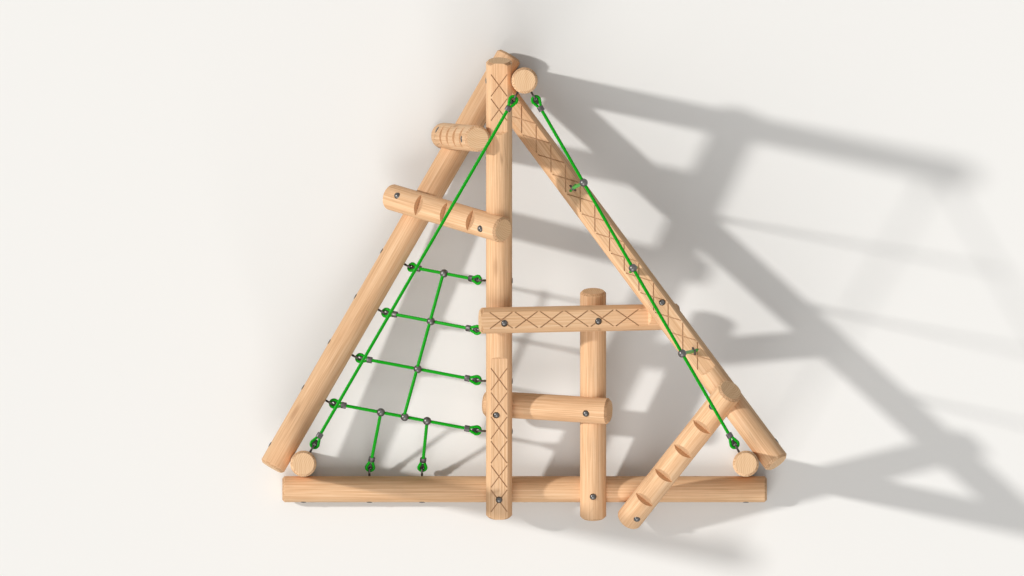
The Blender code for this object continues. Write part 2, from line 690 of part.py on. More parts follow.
def build_high_ropes(items, logs, parts):
    """The two ropes from the apex post to the front posts, and the hangers down to the right log."""
    height = UP * HIGH_ROPE_HEIGHT
    ends = {}
    for side, post in (("left", LEFT), ("right", RIGHT)):
        along = (post - APEX).normalized()
        first, last = APEX + height, post + height
        far = "post_" + side
        start = eye_bolt("eye_apex_" + side, items["post_apex"], logs["post_apex"], first, along, last, True)
        end = eye_bolt("eye_" + far, items[far], logs[far], last, -along, first, True)
        parts["steel"] += [start[0], end[0]]
        ends[side] = (start[1:], end[1:])
    centres = [APEX + height + (RIGHT - APEX) * share for share in HIGH_ROPE_BALLS]
    origin = ends["right"][0][0]
    distances = [(centre - origin).length for centre in centres]
    left_rope = looped_rope("rope_high_left", *ends["left"], [])
    right_rope = looped_rope("rope_high_right", *ends["right"], distances)
    right = logs["log_right"]
    for i, (centre, share) in enumerate(zip(centres, HANGER_EYES)):
        point = right["low"] + right["axis"] * (share * POST_SPACING)
        name = f"hanger_{i + 1}"
        eye = eye_bolt("eye_" + name, items["log_right"], right, point, right["top"], centre, True)
        parts["steel"].append(eye[0])
        parts["rope"].append(hung_rope("rope_" + name, eye[1:], centre))
        bore_ball(right_rope, centre, (eye[1] - centre).normalized())
    parts["rope"] += [left_rope, right_rope]


def build_net(items, logs, parts):
    """Four ropes across from the left log to the central log, one down through them, and two drops."""
    left, centre, base = logs["log_left"], logs["log_centre"], logs["log_base"]
    inward = UP.cross(plan_direction(math.radians(240))).normalized()
    across = Vector((-1.0, 0.0, 0.0))
    rows = []
    for i in range(NET_ROWS):
        at_left = left["low"] + left["axis"] * ((NET_LEFT_FIRST + i * NET_PITCH) * POST_SPACING)
        at_right = centre["low"] + centre["axis"] * ((NET_RIGHT_FIRST - i * NET_PITCH) * POST_SPACING)
        left_ring = at_left + inward * (LOG_RADIUS + EYE_STANDOFF)
        right_ring = at_right + across * (LOG_RADIUS + EYE_STANDOFF)
        start = eye_bolt(f"eye_net_left_{i + 1}", items["log_left"], left, at_left, inward, right_ring, False)
        end = eye_bolt(f"eye_net_right_{i + 1}", items["log_centre"], centre, at_right, across, left_ring, False)
        parts["steel"] += [start[0], end[0]]
        rows.append((start[1:], end[1:]))
    net, crossings = [], []
    for i, (start, end) in enumerate(rows):
        span = end[0] - start[0]
        balls = []
        if i == NET_ROWS - 1:
            balls = [span.length * share for share in DROP_BALL_SHARE]
        net.append(looped_rope(f"rope_net_{i + 1}", start, end, balls))
        crossings.append(start[0] + span * NET_BALL_SHARE)
    # The crossings lie on one line, so the rope down the net is straight, a rope's width above them.
    run = (crossings[-1] - crossings[0]).normalized()
    middle_row = rows[1][1][0] - rows[1][0][0]
    lift = run.cross(middle_row).normalized() * (ROPE_RADIUS + GAP)
    if lift.z < 0:
        lift.negate()
    for item, crossing in zip(net, crossings):
        place = Matrix.Translation(crossing + lift) @ frame_along(run, lift)
        profile = [(0.0, -BALL_RADIUS)]
        for step in range(1, 7):
            angle = math.pi * step / 7
            profile.append((BALL_RADIUS * math.sin(angle), -BALL_RADIUS * math.cos(angle)))
        profile.append((0.0, BALL_RADIUS))
        combine(item, lathe("ball", profile, 12, place), "UNION")
        combine(item, lathe("cutter", straight_run(ROPE_RADIUS + 2 * GAP, -CUTTER_REACH, CUTTER_REACH), ROPE_SIDES,
                            Matrix.Translation(lift) @ place), "DIFFERENCE")
    length = (crossings[-1] - crossings[0]).length
    place = Matrix.Translation(crossings[0] + 2 * lift) @ frame_along(run, lift)
    outline = straight_run(ROPE_RADIUS, -NET_ROPE_TAIL, length + NET_ROPE_TAIL)
    parts["rope"] += [*net, lathe("rope_net_down", outline, ROPE_SIDES, place)]
    last_start, last_end = rows[-1]
    span = last_end[0] - last_start[0]
    for i, (share, along) in enumerate(zip(DROP_BALL_SHARE, DROP_EYES)):
        ball = last_start[0] + span * share
        point = base["low"] + base["axis"] * ((BASE_OVERHANG + along) * POST_SPACING)
        towards = Vector((0.0, 1.0, 0.0))
        eye = eye_bolt(f"eye_drop_{i + 1}", items["log_base"], base, point, towards, ball, False)
        parts["steel"].append(eye[0])
        parts["rope"].append(hung_rope(f"rope_drop_{i + 1}", eye[1:], ball))
        bore_ball(net[-1], ball, (eye[1] - ball).normalized())


def finish(item, look):
    item.data.materials.clear()
    item.data.materials.append(material_for(look, item.name))
    item.data.shade_smooth()
    item.data.set_sharp_from_angle(angle=math.radians(28))


def main():
    clear_scene()
    logs = layout()
    items = build_logs(logs)
    parts = {"steel": [], "rope": []}
    for name, upper, lower in BOLTS:
        parts["steel"].append(joint_bolt(name, items, logs, upper, lower))
    build_high_ropes(items, logs, parts)
    build_net(items, logs, parts)
    for item in items.values():
        finish(item, WOOD)
    for item in parts["steel"]:
        finish(item, STEEL)
    for item in parts["rope"]:
        finish(item, GREEN)


main()
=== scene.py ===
# Log climbing frame with a rope net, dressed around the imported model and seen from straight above.
import math

import bmesh
import bpy
import numpy as np
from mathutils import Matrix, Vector


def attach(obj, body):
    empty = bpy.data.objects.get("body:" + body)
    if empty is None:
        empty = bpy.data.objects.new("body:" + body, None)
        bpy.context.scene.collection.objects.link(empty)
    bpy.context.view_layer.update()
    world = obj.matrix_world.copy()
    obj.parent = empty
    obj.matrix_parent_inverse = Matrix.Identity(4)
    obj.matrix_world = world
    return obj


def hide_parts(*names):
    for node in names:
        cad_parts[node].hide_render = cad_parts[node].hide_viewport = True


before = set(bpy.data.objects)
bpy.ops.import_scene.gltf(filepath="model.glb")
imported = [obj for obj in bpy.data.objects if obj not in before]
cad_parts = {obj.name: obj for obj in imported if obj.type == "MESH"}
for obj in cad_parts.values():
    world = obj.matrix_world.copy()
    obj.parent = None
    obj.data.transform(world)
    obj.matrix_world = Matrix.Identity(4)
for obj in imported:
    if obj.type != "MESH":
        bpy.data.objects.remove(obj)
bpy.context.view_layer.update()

# Real sizes in metres, as in the model that this dresses
timber = {
    "postSpacing": 2.100, "postHeight": 1.500, "diameter": 0.125, "chamfer": 0.011,
    "seatDepth": 0.004,  # how deep a log is saddled on the one below it
    "gap": 0.0003,  # clearance of each seat
    "flatHeight": 0.0484,  # planed tread above the log's axis
    "flatLength": 0.800, "topFlatLength": 0.339, "rightFlatShortBy": 0.556,
    "planMiddle": (-0.0025, 0.8272, 0.0),  # from the middle of the line between the front posts
}

logRadius = timber["diameter"] / 2
spacing = timber["postSpacing"]
seated = timber["diameter"] - timber["seatDepth"]
halfLapped = logRadius
planMiddle = np.array(timber["planMiddle"])
up = np.array([0.0, 0.0, 1.0])
plusY = np.array([0.0, 1.0, 0.0])


def unit(vector):
    return vector / np.linalg.norm(vector)


def heading(degrees):
    return np.array([math.cos(math.radians(degrees)), math.sin(math.radians(degrees)), 0.0])


def topFor(axis, steep=0.9):
    # up, or the plan's y for an axis that stands upright itself
    return up if abs(axis[2]) < steep else plusY


def axesAlong(direction, top):
    # columns x, y, z of a frame whose z runs along the direction and whose y leans to the top vector
    z = unit(direction)
    x = unit(np.cross(top, z))
    return np.stack([x, np.cross(z, x), z], axis=1)


def straightLog(low, axis, length):
    axis = unit(axis)
    turn = axesAlong(axis, topFor(axis, 0.999))
    return {"low": low, "axis": axis, "length": length, "turn": turn, "top": turn[:, 1], "flats": []}


def closestPoints(lower, upper):
    # feet of the common normal of two axes
    a, b = lower["axis"], upper["axis"]
    between = upper["low"] - lower["low"]
    dot = a @ b
    scale = 1 - dot * dot
    alongA = (between @ a - (between @ b) * dot) / scale
    alongB = ((between @ a) * dot - between @ b) / scale
    return lower["low"] + a * alongA, upper["low"] + b * alongB


def axisGap(lower, low, axis):
    normal = unit(np.cross(lower["axis"], axis))
    normal = normal if normal[2] > 0 else -normal
    return (low - lower["low"]) @ normal


# Places and reaches are in post spacings across and up the plan, leans and headings in degrees
layout = {
    "baseOverhang": 0.0476,
    "leftHeading": 240.0, "leftLean": 5.16, "leftReach": (0.0329, 0.0431),
    "centreLean": 17.5, "centreReach": (0.0624, 0.9686),
    "riserAcross": 0.1548, "riserLean": 17.0, "riserReach": (0.0648, 0.4476),
    "stepPlace": (-0.0285, 0.1323), "stepHeading": -3.57, "stepReach": (0.0613, 0.2210),
    "beamUpward": 0.3284, "beamHeading": 181.2, "beamReach": (0.1938, 0.2557),
    "rightReach": (0.0267, 1.0348),
    "steepPlace": (-0.1182, 0.7355), "steepHeading": -4.7, "steepReach": (0.0, 0.0118),
    "upperPlace": (-0.1686, 0.5635), "upperHeading": -16.5, "upperReach": (0.1400, 0.1256),
    "lowerAcross": 0.2893, "lowerHeading": 51.7, "lowerReach": (0.0875, 0.2851),
    # the search for the slope of a log that lies on two others starts at these leans
    "firstLean": {"step": 15, "beam": 9, "right": 16, "steep": 79, "upper": 44, "lower": 45},
    "searchSteps": 30,
}


def restOn(point, degrees, rests, firstLean):
    # Newton's steps, from a first lean, to the rise and height at which a log lies on two others
    flat = heading(degrees)

    def misses(rise, height):
        low = np.array([point[0], point[1], height])
        return np.array([axisGap(log, low, unit(flat + up * rise)) - gap for log, gap in rests])

    found = np.array([math.tan(math.radians(firstLean)), timber["diameter"]])
    step = timber["diameter"] / 100
    for _ in range(layout["searchSteps"]):
        here = misses(*found)
        slopes = np.stack([misses(found[0] + step, found[1]) - here,
                           misses(found[0], found[1] + step) - here], 1)
        found = found - np.linalg.solve(slopes / step, here)
    return found


def logThrough(point, degrees, rise, height, reach):
    # reach is how far the log goes before and after the point, in post spacings on the plan
    slope = heading(degrees) + up * rise
    before, after = reach[0] * spacing, reach[1] * spacing
    low = np.array([point[0], point[1], height]) - slope * before
    return straightLog(low, slope, (before + after) * np.linalg.norm(slope))


def footHeight(lean):
    # height of the axis at a chamfered end that stands on the ground
    corner = (logRadius - timber["chamfer"]) * math.cos(lean)
    shoulder = logRadius * math.cos(lean) - timber["chamfer"] * math.sin(lean)
    return max(corner, shoulder) + timber["gap"]


def layTimber():
    # the three posts, then every log from the ones that it lies on
    def plan(across, upward):
        return np.array([across, upward, 0.0]) * spacing - planMiddle

    apex = plan(0, math.sqrt(3) / 2)
    logs = {name: straightLog(foot, up, timber["postHeight"]) for name, foot in (
        ("post_apex", apex), ("post_left", plan(-0.5, 0)), ("post_right", plan(0.5, 0)))}
    besidePost = -seated / spacing
    baseLength = spacing * (1 + 2 * layout["baseOverhang"])
    base = straightLog(plan(0, besidePost) + up * logRadius - heading(0) * baseLength / 2,
                       heading(0), baseLength)

    lean = math.radians(layout["leftLean"])
    downLeft = heading(layout["leftHeading"])
    before, after = (share * spacing for share in layout["leftReach"])
    slope = downLeft + up * math.tan(lean)
    left = straightLog(apex + heading(layout["leftHeading"] - 90) * seated - downLeft * before
                       + up * footHeight(lean), slope, (before + spacing + after) * np.linalg.norm(slope))

    def onBaseLog(across, degrees, gap, reach):
        lean = math.radians(degrees)
        height = logRadius + gap / math.cos(lean)
        return logThrough(plan(across, besidePost), 90, math.tan(lean), height, reach)

    def onTwoLogs(name, place, degrees, *rests):
        rise, height = restOn(place, degrees, rests, layout["firstLean"][name])
        return logThrough(place, degrees, rise, height, layout[name + "Reach"])

    centre = onBaseLog(besidePost, layout["centreLean"], seated, layout["centreReach"])
    riser = onBaseLog(layout["riserAcross"], layout["riserLean"], halfLapped, layout["riserReach"])
    step = onTwoLogs("step", plan(*layout["stepPlace"]), layout["stepHeading"],
                     (centre, -seated), (riser, halfLapped))
    beam = onTwoLogs("beam", plan(layout["riserAcross"], layout["beamUpward"]), layout["beamHeading"],
                     (centre, seated), (riser, seated))
    # the right log touches the apex post and the right post on opposite sides
    degrees = math.degrees(math.asin(2 * seated / spacing)) - 60
    right = onTwoLogs("right", apex + heading(degrees - 90) * seated, degrees, (left, seated), (beam, seated))
    # the steep rung goes on from the left log to the ground
    steep = onTwoLogs("steep", plan(*layout["steepPlace"]), layout["steepHeading"],
                      (left, halfLapped), (centre, seated))
    further = (steep["low"][2] - footHeight(math.asin(steep["axis"][2]))) / steep["axis"][2]
    steep = straightLog(steep["low"] - steep["axis"] * further, steep["axis"], steep["length"] + further)
    upper = onTwoLogs("upper", plan(*layout["upperPlace"]), layout["upperHeading"],
                      (left, seated), (centre, halfLapped))
    lower = onTwoLogs("lower", plan(layout["lowerAcross"], besidePost), layout["lowerHeading"],
                      (base, seated), (right, halfLapped))
    logs.update(log_base=base, log_left=left, log_centre=centre, log_short_riser=riser, log_step=step,
                log_beam=beam, log_right=right, rung_steep=steep, rung_upper=upper, rung_lower=lower)

    # planed stretches along each log, from and to; a metre past an end takes that end in
    long, top = timber["flatLength"], timber["topFlatLength"]
    centre["flats"] = [(-1.0, long), (centre["length"] - top, centre["length"] + 1)]
    beam["flats"] = [(beam["length"] - long, beam["length"] + 1)]
    right["flats"] = [(-1.0, right["length"] - timber["rightFlatShortBy"])]
    return logs


logs = layTimber()
print("timber laid out:", len(logs), "logs and posts")


# Meshes from numpy grids

mergeWithin = 3e-5  # closes poles and end caps


def meshObject(name, points, quads, smooth=True, paint=None):
    mesh = bpy.data.meshes.new(name)
    mesh.from_pydata(points.tolist(), [], quads.tolist())
    for label, values in (paint or {}).items():
        attribute = mesh.attributes.new(label, "FLOAT", "POINT")
        attribute.data.foreach_set("value", values.astype(np.float32).ravel())
    cleaned = bmesh.new()
    cleaned.from_mesh(mesh)
    bmesh.ops.remove_doubles(cleaned, verts=cleaned.verts, dist=mergeWithin)
    cleaned.to_mesh(mesh)
    cleaned.free()
    mesh.update()
    if smooth:
        mesh.shade_smooth()
    item = bpy.data.objects.new(name, mesh)
    bpy.context.scene.collection.objects.link(item)
    return item


def facingOut(points, quads):
    # a closed grid whose signed volume is negative has its faces turned round
    a, b, c, d = (points[quads[:, k]] for k in range(4))
    volume = (np.cross(a, b) * c).sum() + (np.cross(a, c) * d).sum()
    return points, quads if volume > 0 else quads[:, ::-1]


def gridFaces(rows, columns, wrapRows=False):
    # quads of a grid whose columns close on themselves
    i = np.arange(rows if wrapRows else rows - 1)[:, None]
    j = np.arange(columns)[None, :]
    down, right = (i + 1) % rows, (j + 1) % columns
    corners = [i * columns + j, i * columns + right, down * columns + right, down * columns + j]
    return np.stack(corners, -1).reshape(-1, 4)


def joinGrids(pieces):
    # several (points, quads) pairs as one
    points, quads, offset = [], [], 0
    for pointSet, quadSet in pieces:
        points.append(pointSet)
        quads.append(quadSet + offset)
        offset += len(pointSet)
    return np.concatenate(points), np.concatenate(quads)


def turnsOf(count):
    # equal angles round a full turn
    return 2 * np.pi * np.arange(count) / count


def turned(profile, sides, origin, turn):
    # a (radius, height) profile turned about z: x = r cos a, y = r sin a; ends are closed at a tiny radius
    profile = np.array(profile, float)
    profile[:, 0] = np.maximum(profile[:, 0], 1e-5)
    ring = np.stack([np.cos(turnsOf(sides)), np.sin(turnsOf(sides))], -1)
    heights = np.broadcast_to(profile[:, None, 1:], (len(profile), sides, 1))
    local = np.concatenate([profile[:, None, :1] * ring[None], heights], -1)
    return facingOut(local.reshape(-1, 3) @ turn.T + origin, gridFaces(len(profile), sides))


def arcProfile(radii, start, end, steps):
    # points of an ellipse's arc about the origin of (r, z), angles in degrees from the r axis
    angle = np.radians(np.linspace(start, end, steps))
    return [(radii[0] * math.cos(a), radii[1] * math.sin(a)) for a in angle]


def torus(origin, turn, radius, wire, steps, sides):
    # x = (R + r cos b) cos a, y = (R + r cos b) sin a, z = r sin b
    a, b = turnsOf(steps)[:, None], turnsOf(sides)[None, :]
    reach = radius + wire * np.cos(b)
    local = np.stack([reach * np.cos(a), reach * np.sin(a), wire * np.sin(b) + 0 * a], -1)
    return facingOut(local.reshape(-1, 3) @ turn.T + origin, gridFaces(steps, sides, True))


def sweep(path, firstSide, radiusAt, around):
    # rings carried along the path, turned as little as possible; radius = radiusAt(angle, distance)
    gaps = np.linalg.norm(np.diff(path, axis=0), axis=1)
    distance = np.concatenate([[0.0], np.cumsum(gaps)])
    tangent = np.gradient(path, distance, axis=0)
    tangent /= np.linalg.norm(tangent, axis=1, keepdims=True)
    side = np.empty_like(path)
    current = firstSide
    for i in range(len(path)):
        current = unit(current - tangent[i] * (current @ tangent[i]))
        side[i] = current
    across = np.cross(tangent, side)
    angle = turnsOf(around)[None, :]
    radius = radiusAt(angle, distance[:, None])
    points = (path[:, None] + side[:, None] * (radius * np.cos(angle))[..., None]
              + across[:, None] * (radius * np.sin(angle))[..., None])
    # both ends close: a last ring drawn in to the middle
    first = path[0] + (points[:1] - path[0]) * 1e-3
    last = path[-1] + (points[-1:] - path[-1]) * 1e-3
    points = np.concatenate([first, points, last])
    return facingOut(points.reshape(-1, 3), gridFaces(len(points), around))


def resample(outline, step):
    # points a step apart along a line of corner points
    outline = np.array(outline)
    distance = np.concatenate([[0.0], np.cumsum(np.linalg.norm(np.diff(outline, axis=0), axis=1))])
    count = max(int(distance[-1] / step), 4)
    at = np.linspace(0, distance[-1], count + 1)
    return np.stack([np.interp(at, distance, outline[:, k]) for k in range(outline.shape[1])], 1)


# Shader nodes

def connect(tree, socket, value):
    # a socket takes a link from another socket, or a plain value
    if isinstance(value, bpy.types.NodeSocket):
        tree.links.new(value, socket)
    else:
        socket.default_value = value


def node(tree, kind, links=None, **settings):
    made = tree.nodes.new(kind)
    for key, value in settings.items():
        setattr(made, key, value)
    for key, value in (links or {}).items():
        connect(tree, made.inputs[key], value)
    return made


def maths(tree, operation, *values, clamp=False):
    made = node(tree, "ShaderNodeMath", dict(enumerate(values)), operation=operation, use_clamp=clamp)
    return made.outputs[0]


def wave(tree, phase):
    # 0.5 + 0.5 sin(phase)
    return maths(tree, "MULTIPLY_ADD", maths(tree, "SINE", phase), 0.5, 0.5)


def vectors(tree, operation, *values, scale=None):
    links = dict(enumerate(values))
    if scale is not None:
        links["Scale"] = scale
    made = node(tree, "ShaderNodeVectorMath", links, operation=operation)
    return made.outputs["Value" if operation in ("DOT_PRODUCT", "LENGTH") else "Vector"]


def mapped(tree, vector, scale):
    return node(tree, "ShaderNodeMapping", {"Vector": vector, "Scale": scale}).outputs[0]


def mixColour(tree, factor, a, b):
    return node(tree, "ShaderNodeMix", {0: factor, 6: a, 7: b}, data_type="RGBA").outputs[2]


def tinted(tree, colour, mask, strength, tint):
    # the tint laid over the colour where the mask is bright
    return mixColour(tree, maths(tree, "MULTIPLY", mask, strength), colour, tint)


def ramp(tree, factor, stops):
    made = node(tree, "ShaderNodeValToRGB", {"Fac": factor})
    elements = made.color_ramp.elements
    while len(elements) > 1:
        elements.remove(elements[-1])
    elements[0].position, elements[0].color = stops[0]
    for position, colour in stops[1:]:
        elements.new(position).color = colour
    return made.outputs["Color"]


def maskRamp(tree, factor, *stops):
    # a ramp of greys from (position, brightness) pairs
    return ramp(tree, factor, [(position, (value, value, value, 1.0)) for position, value in stops])


def noise(tree, vector, scale, detail, rough=0.55):
    return node(tree, "ShaderNodeTexNoise", {"Vector": vector, "Scale": scale, "Detail": detail,
                                             "Roughness": rough}).outputs["Fac"]


def objectPlace(tree):
    return node(tree, "ShaderNodeTexCoord").outputs["Object"]


def newGroup(name, inputs, outputs):
    group = bpy.data.node_groups.new(name, "ShaderNodeTree")
    for way, sockets in (("INPUT", inputs), ("OUTPUT", outputs)):
        for label, kind in sockets:
            group.interface.new_socket(label, in_out=way, socket_type="NodeSocket" + kind)
    return group, group.nodes.new("NodeGroupInput").outputs, group.nodes.new("NodeGroupOutput").inputs


# Colours are linear; scales are per metre; z runs along the log
wood = {
    "stretch": (1.0, 1.0, 0.022),  # the grain, drawn out along the log
    "pith": (0.085, -0.030, 0.0),  # beside the turned axis, so rings reach the surface as long lines
    "pithOf": {"log_left": (0.012, -0.026, 0.0), "rung_lower": (0.020, -0.022, 0.0)},
    "pithWander": 0.034, "wanderStretch": (1.6, 1.6, 0.55), "ringsPerMetre": 500.0, "ringWaver": 4.5,
    "waverScale": 30.0, "fibreScale": 420.0, "streakScale": 165.0, "broadScale": 26.0, "patchScale": 3.2,
    "knotScale": (7.0, 7.0, 1.9), "checkScale": (30.0, 30.0, 1.5), "grimeScale": 9.0, "sawScale": 150.0,
    "streakStops": [(0.38, (0.625, 0.370, 0.195, 1)), (0.47, (0.755, 0.468, 0.260, 1)),
                    (0.55, (0.835, 0.545, 0.320, 1)), (0.66, (0.890, 0.618, 0.388, 1))],
    "ringTint": (0.620, 0.340, 0.165, 1), "ringStrength": 0.37,
    "patchTint": (0.800, 0.470, 0.270, 1),
    "knotTint": (0.36, 0.17, 0.075, 1), "knotStrength": 0.55,
    "checkTint": (0.25, 0.125, 0.060, 1), "checkStrength": 0.45,
    "endRingsPerMetre": 680.0, "endReach": 0.004, "chamferReach": 0.016,
    "cutDepth": 0.0015, "cutAbove": 0.02, "grooveBelowFlat": 0.0006,  # what counts as cut into the top
    "roundDepth": 0.0012, "roundLikeness": 0.985,  # what counts as the turned surface
    "endStops": [(0.36, (0.670, 0.400, 0.215, 1)), (0.58, (0.780, 0.500, 0.282, 1)),
                 (0.80, (0.850, 0.590, 0.360, 1))],
    "tickTint": (0.360, 0.190, 0.090, 1), "tickStrength": 0.30,
    # colour of the shade painted into grooves and notches
    "grooveShadeTint": (0.300, 0.140, 0.062, 1),
    "plainGrooveShade": 0.30, "flatGrooveShade": 0.54, "grooveShadeOf": {"log_right": 0.40},  # strength of the shade painted into the cuts, less on the right log whose grooves run along the light
    "grimeTint": (0.42, 0.30, 0.20, 1), "grimeStrength": 0.16,
    "bump": 0.55, "bumpDepth": 0.0011, "specular": 0.32,
}


def pithDistance(group, place, shifted, pith):
    # distance from a pith that wanders as it runs along the log
    along = mapped(group, shifted, wood["wanderStretch"])
    bend = node(group, "ShaderNodeTexNoise", {"Vector": along, "Scale": 1.4, "Detail": 1.0})
    bend = vectors(group, "SUBTRACT", bend.outputs["Color"], (0.5, 0.5, 0.5))
    wander = vectors(group, "SCALE", bend, scale=wood["pithWander"])
    fromPith = vectors(group, "SUBTRACT", vectors(group, "SUBTRACT", place, pith), wander)
    return vectors(group, "LENGTH", vectors(group, "MULTIPLY", fromPith, (1.0, 1.0, 0.0)))


def knotMarks(group, shifted):
    # a few round knots, longer along the log
    cells = node(group, "ShaderNodeTexVoronoi", {"Vector": mapped(group, shifted, wood["knotScale"]),
                                                 "Scale": 1.0})
    return maskRamp(group, cells.outputs["Distance"], (0.0, 1.0), (0.055, 0.8), (0.12, 0.12), (0.19, 0.0))


def dryingChecks(group, shifted):
    # thin lines along the grain, in some places only
    cells = node(group, "ShaderNodeTexVoronoi", {"Vector": mapped(group, shifted, wood["checkScale"]),
                                                 "Scale": 1.0}, feature="DISTANCE_TO_EDGE")
    lines = maskRamp(group, cells.outputs["Distance"], (0.0, 1.0), (0.022, 0.0))
    here = maskRamp(group, noise(group, shifted, 4.3, 2.0), (0.60, 0.0), (0.70, 1.0))
    return maths(group, "MULTIPLY", lines, here)


def sawnEnd(group, shifted, ringRadius):
    # growth rings about the pith and the fine parallel lines of the saw
    waver = maths(group, "MULTIPLY", noise(group, shifted, wood["waverScale"], 2.0), 1.6)
    rings = wave(group, maths(group, "MULTIPLY_ADD", ringRadius, wood["endRingsPerMetre"], waver))
    sawLines = noise(group, mapped(group, shifted, (1.0, 0.02, 0.0)), wood["sawScale"], 2.0)
    tone = maths(group, "MULTIPLY_ADD", rings, -0.26, maths(group, "MULTIPLY_ADD", sawLines, 0.55, 0.44))
    return ramp(group, tone, wood["endStops"])


def withinEnd(group, fromEnds, length, reach):
    # 1 on the stretch of that reach at either end of the log
    return maths(group, "GREATER_THAN", fromEnds, maths(group, "MULTIPLY_ADD", length, 0.5, -reach))


def roundNormal(group, given, geometry, radius):
    # the facets of the turned surface take the true radial normal; flats and cuts keep their own
    fromAxis = vectors(group, "SUBTRACT", geometry["Position"], given["Centre"])
    along = vectors(group, "DOT_PRODUCT", fromAxis, given["Axis"])
    lengthwise = vectors(group, "SCALE", given["Axis"], scale=along)
    radial = vectors(group, "NORMALIZE", vectors(group, "SUBTRACT", fromAxis, lengthwise))
    likeness = vectors(group, "DOT_PRODUCT", geometry["Normal"], radial)
    isRound = maths(group, "MULTIPLY", maths(group, "GREATER_THAN", likeness, wood["roundLikeness"]),
                    maths(group, "GREATER_THAN", radius, logRadius - wood["roundDepth"]))
    return node(group, "ShaderNodeMix", {0: isRound, 4: geometry["Normal"], 5: radial},
                data_type="VECTOR").outputs[1]


def buildTimberGroup():
    # colour, roughness, height and rounded normal of a turned log; Place is in the log's own frame
    group, given, out = newGroup("turnedTimber", [
        ("Place", "Vector"), ("Axis", "Vector"), ("Centre", "Vector"), ("Length", "Float"), ("Seed", "Float"),
        ("Groove Top", "Float"), ("Groove Shade", "Float"), ("Pith", "Vector"),
    ], [("Colour", "Color"), ("Roughness", "Float"), ("Height", "Float"), ("Round Normal", "Vector")])
    place, length = given["Place"], given["Length"]
    x, y, z = node(group, "ShaderNodeSeparateXYZ", {0: place}).outputs
    radius = maths(group, "SQRT", maths(group, "ADD", maths(group, "MULTIPLY", x, x),
                                        maths(group, "MULTIPLY", y, y)))
    seedY = maths(group, "MULTIPLY", given["Seed"], 0.37)
    seedShift = node(group, "ShaderNodeCombineXYZ", {"X": given["Seed"], "Y": seedY}).outputs[0]
    shifted = vectors(group, "ADD", place, seedShift)
    stretched = mapped(group, shifted, wood["stretch"])
    geometry = node(group, "ShaderNodeNewGeometry").outputs

    # rings, streaks and broad patches of tone
    ringRadius = pithDistance(group, place, shifted, given["Pith"])
    waver = maths(group, "MULTIPLY", noise(group, stretched, wood["waverScale"], 2.0), wood["ringWaver"])
    phase = maths(group, "MULTIPLY_ADD", ringRadius, wood["ringsPerMetre"], waver)
    rings = maths(group, "POWER", wave(group, phase), 2.6)
    fibres = noise(group, stretched, wood["fibreScale"], 4.0, 0.65)
    streaks = noise(group, stretched, wood["streakScale"], 2.0)
    broad = noise(group, stretched, wood["broadScale"], 2.0, 0.5)
    tone = maths(group, "MULTIPLY_ADD", streaks, 0.60, maths(group, "MULTIPLY", broad, 0.18))
    colour = ramp(group, maths(group, "MULTIPLY_ADD", fibres, 0.22, tone), wood["streakStops"])
    colour = tinted(group, colour, rings, wood["ringStrength"], wood["ringTint"])
    patches = noise(group, shifted, wood["patchScale"], 3.0, 0.6)
    patches = maths(group, "MULTIPLY_ADD", patches, 0.5, -0.12, clamp=True)
    colour = mixColour(group, patches, colour, wood["patchTint"])
    knots = knotMarks(group, shifted)
    colour = tinted(group, colour, knots, wood["knotStrength"], wood["knotTint"])
    checks = dryingChecks(group, shifted)
    colour = tinted(group, colour, checks, wood["checkStrength"], wood["checkTint"])

    # end faces, and the chamfer round them that crosses the grain and shows it as short dark ticks
    facing = maths(group, "ABSOLUTE", vectors(group, "DOT_PRODUCT", geometry["Normal"], given["Axis"]))
    fromEnds = maths(group, "ABSOLUTE", maths(group, "SUBTRACT", z, maths(group, "MULTIPLY", length, 0.5)))
    endFace = maths(group, "MULTIPLY", maskRamp(group, facing, (0.86, 0.0), (0.93, 1.0)),
                    withinEnd(group, fromEnds, length, wood["endReach"]))
    colour = mixColour(group, endFace, colour, sawnEnd(group, shifted, ringRadius))
    slanting = maskRamp(group, facing, (0.30, 0.0), (0.45, 1.0), (0.86, 1.0), (0.93, 0.0))
    chamfer = maths(group, "MULTIPLY", slanting, withinEnd(group, fromEnds, length, wood["chamferReach"]))
    ticks = maths(group, "MULTIPLY", chamfer, maskRamp(group, streaks, (0.42, 1.0), (0.50, 0.0)))
    colour = tinted(group, colour, ticks, wood["tickStrength"], wood["tickTint"])

    # painted shade: grooves and notches cut into the upper side are tinted darker and warmer, and grime lies
    # in patches
    cut = maths(group, "MULTIPLY", maths(group, "LESS_THAN", radius, logRadius - wood["cutDepth"]),
                maths(group, "LESS_THAN", y, given["Groove Top"]))
    cut = maths(group, "MULTIPLY", cut, maths(group, "GREATER_THAN", y, wood["cutAbove"]))
    cut = maths(group, "MULTIPLY", cut, maths(group, "SUBTRACT", 1.0, endFace))
    # the cuts take a painted shade, darker and warmer
    colour = tinted(group, colour, cut, given["Groove Shade"], wood["grooveShadeTint"])
    grime = maskRamp(group, noise(group, shifted, wood["grimeScale"], 5.0, 0.7), (0.52, 0.0), (0.80, 1.0))
    colour = tinted(group, colour, grime, wood["grimeStrength"], wood["grimeTint"])

    height = maths(group, "MULTIPLY_ADD", rings, 0.22, maths(group, "MULTIPLY", checks, -1.3))
    height = maths(group, "MULTIPLY_ADD", knots, 0.25, maths(group, "MULTIPLY_ADD", fibres, 0.55, height))
    group.links.new(colour, out["Colour"])
    group.links.new(maths(group, "MULTIPLY_ADD", fibres, 0.16, 0.56), out["Roughness"])
    group.links.new(height, out["Height"])
    group.links.new(roundNormal(group, given, geometry, radius), out["Round Normal"])
    return group


wear = {"bloomScale": 60.0, "scratchScale": 900.0, "scratchStretch": (1.0, 0.08, 1.0), "bump": 0.25,
        "bumpDepth": 0.0002}


